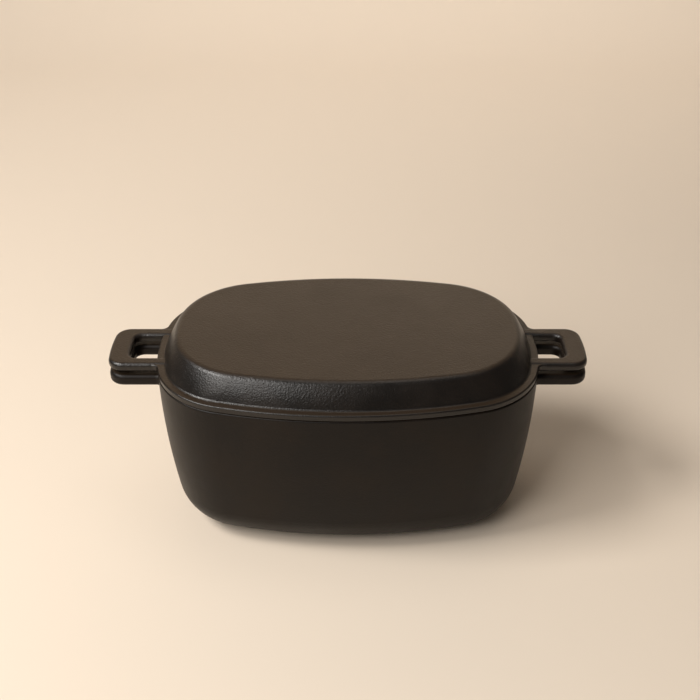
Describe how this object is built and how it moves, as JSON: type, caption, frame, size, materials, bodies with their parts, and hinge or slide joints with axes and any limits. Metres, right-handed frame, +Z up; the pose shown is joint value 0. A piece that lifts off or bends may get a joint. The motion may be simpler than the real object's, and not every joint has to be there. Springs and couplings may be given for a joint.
{
  "type": "lidded cast iron pot",
  "caption": "Oblong cast iron pot with rounded corners, loop handles at both ends and a shallow lid with matching handles that also serves as a pan.",
  "frame": {"origin": "middle of the underside of the pot's base", "axes": "+Z up, +X from one handle to the other, +Y across the pot"},
  "size_m": [0.33, 0.168, 0.1393],
  "materials": {
    "pot_iron": "satin, seasoned, fine cast grain",
    "lid_iron": "satin, seasoned, fine cast grain"
  },
  "bodies": {
    "pot": {"pot": "pot_iron"},
    "lid": {"lid": "lid_iron"}
  },
  "joints": [
    {"name": "lid_lift", "type": "slide", "parent": "pot", "child": "lid", "axis": [0, 0, 1], "range_m": [0, 0.12]}
  ]
}
